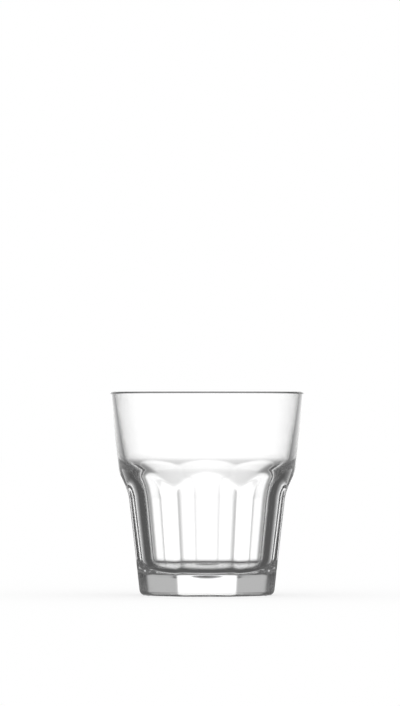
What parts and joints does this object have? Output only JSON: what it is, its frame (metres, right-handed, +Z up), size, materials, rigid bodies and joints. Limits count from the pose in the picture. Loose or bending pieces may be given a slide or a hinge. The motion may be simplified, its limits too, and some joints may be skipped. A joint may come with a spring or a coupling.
{
  "type": "rocks glass",
  "caption": "Pressed clear-glass rocks tumbler with a heavy base, flat tapering panels that run out at a shoulder, and a plain round flared rim; holds a short drink.",
  "frame": {"origin": "centre of the foot, on the plane that the glass stands on", "axes": "+Z up along the axis of the glass; a panel faces -Y, and the others follow every eighth of a turn"},
  "size_m": [0.0858, 0.0858, 0.09],
  "materials": {
    "clear_glass": "clear fire-polished pressed soda-lime glass"
  },
  "bodies": {
    "root": {"sham_base": "clear_glass", "panelled_body": "clear_glass", "rim_wall": "clear_glass"}
  },
  "joints": []
}
